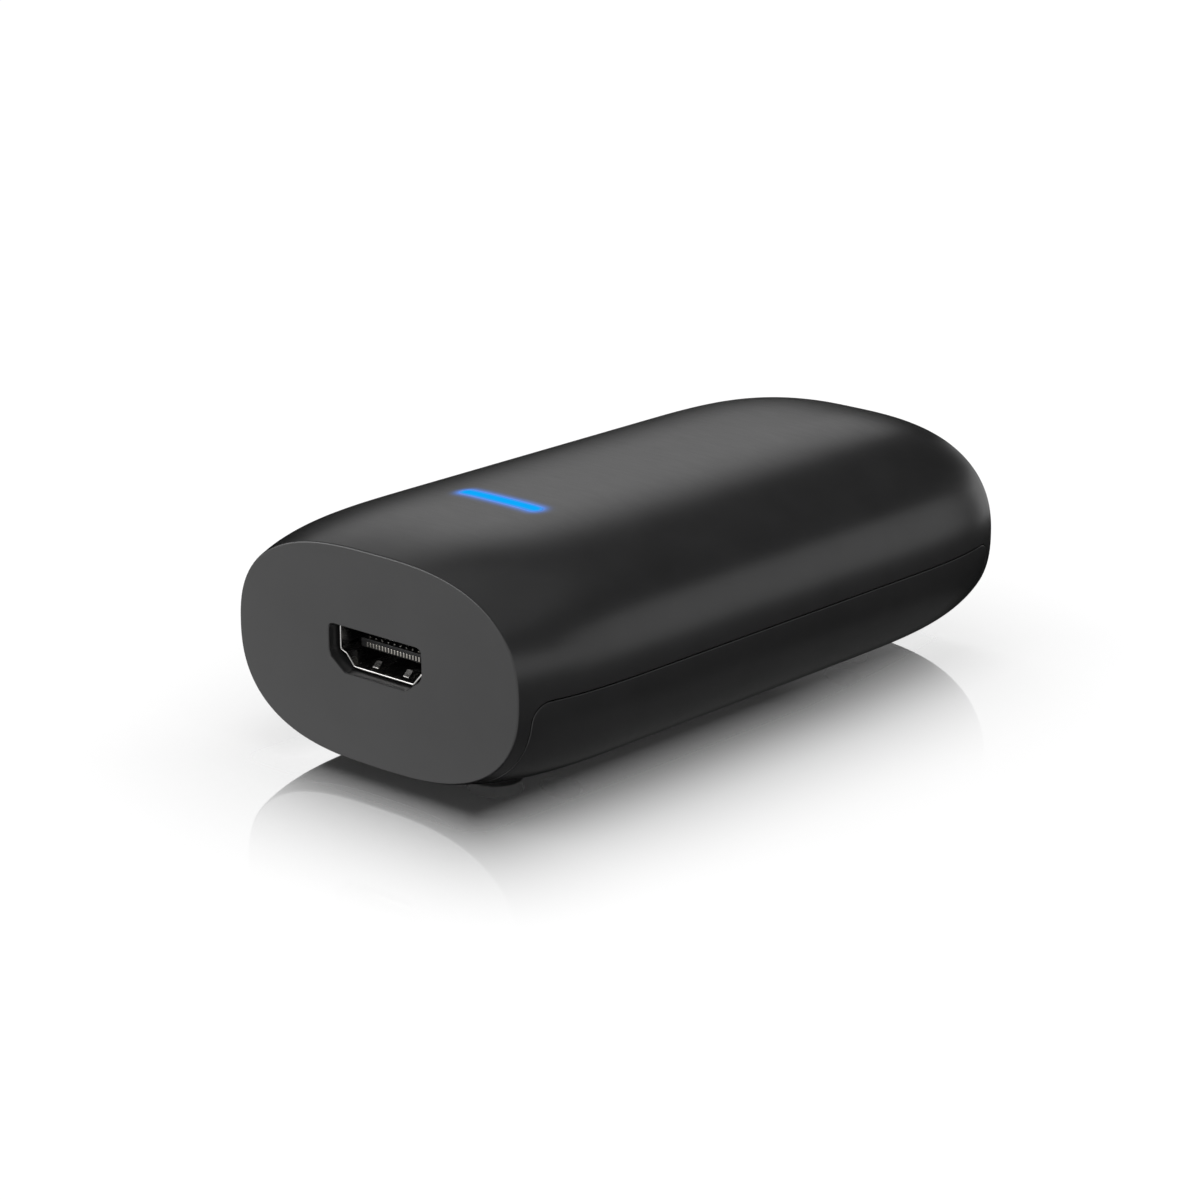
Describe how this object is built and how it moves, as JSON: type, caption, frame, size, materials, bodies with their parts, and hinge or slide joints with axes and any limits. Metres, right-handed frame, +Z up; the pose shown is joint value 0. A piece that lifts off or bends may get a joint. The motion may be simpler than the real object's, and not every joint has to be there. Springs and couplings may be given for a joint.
{
  "type": "digital signage player",
  "caption": "Palm-sized pebble-shaped digital signage player: screwed two-shell case with a video socket in one end, a network socket in the other and a light bar on top.",
  "frame": {"origin": "on the table under the middle of the case", "axes": "+Z up, +Y along the case to the rear end face with the network socket, video socket facing -Y, +X across"},
  "size_m": [0.0512, 0.0896, 0.0305],
  "materials": {
    "case_plastic": "fine satin moulded plastic",
    "foot_rubber": "matt rubber",
    "screw_steel": "zinc-plated",
    "board_laminate": "solder mask",
    "connector_metal": "bright nickel",
    "connector_plastic": "black moulded",
    "contact_gold": "gold flash",
    "light_plastic": "lit blue, translucent",
    "lamp_plastic": "clear lamp body",
    "chip_epoxy": "moulded epoxy",
    "shield_metal": "tinned sheet",
    "sink_metal": "satin anodised",
    "pad_silicone": "soft silicone",
    "ferrite": "pressed ferrite",
    "winding_tape": "polyester tape",
    "capacitor_can": "plain can",
    "ceramic": "fired ceramic",
    "button_plastic": "moulded"
  },
  "bodies": {
    "case": {"upper_housing": "case_plastic", "lower_cover": "case_plastic", "cover_screws": "screw_steel", "board_screws": "screw_steel", "rubber_feet": "foot_rubber", "main_board": "board_laminate", "hdmi_shell": "connector_metal", "hdmi_insulator": "connector_plastic", "hdmi_contacts": "contact_gold", "ethernet_shield": "connector_metal", "ethernet_insert": "connector_plastic", "ethernet_contacts": "contact_gold", "ethernet_magnetics": "chip_epoxy", "light_pipe": "light_plastic", "light_shroud": "connector_plastic", "status_leds": "lamp_plastic", "processor": "chip_epoxy", "memory_chip": "chip_epoxy", "storage_chip": "chip_epoxy", "power_manager": "chip_epoxy", "shield_frame": "shield_metal", "shield_lid": "shield_metal", "thermal_pad": "pad_silicone", "heat_sink_tape": "pad_silicone", "heat_sink": "sink_metal", "transformer_core": "ferrite", "transformer_bobbin": "connector_plastic", "transformer_winding": "winding_tape", "output_capacitors": "capacitor_can", "power_inductor": "ferrite", "power_controller": "chip_epoxy", "switching_regulators": "chip_epoxy", "bridge_rectifiers": "chip_epoxy", "network_chip": "chip_epoxy", "video_driver": "chip_epoxy", "crystals": "shield_metal", "chip_capacitors": "ceramic", "chip_resistors": "ceramic", "reset_switch_body": "connector_plastic", "reset_switch_cover": "shield_metal"},
    "button": {"reset_button": "button_plastic"}
  },
  "joints": [
    {"name": "reset_press", "type": "slide", "parent": "case", "child": "button", "axis": [0, -1, 0], "range_m": [0, 0.00025], "stiffness_N_per_m": 6000}
  ]
}
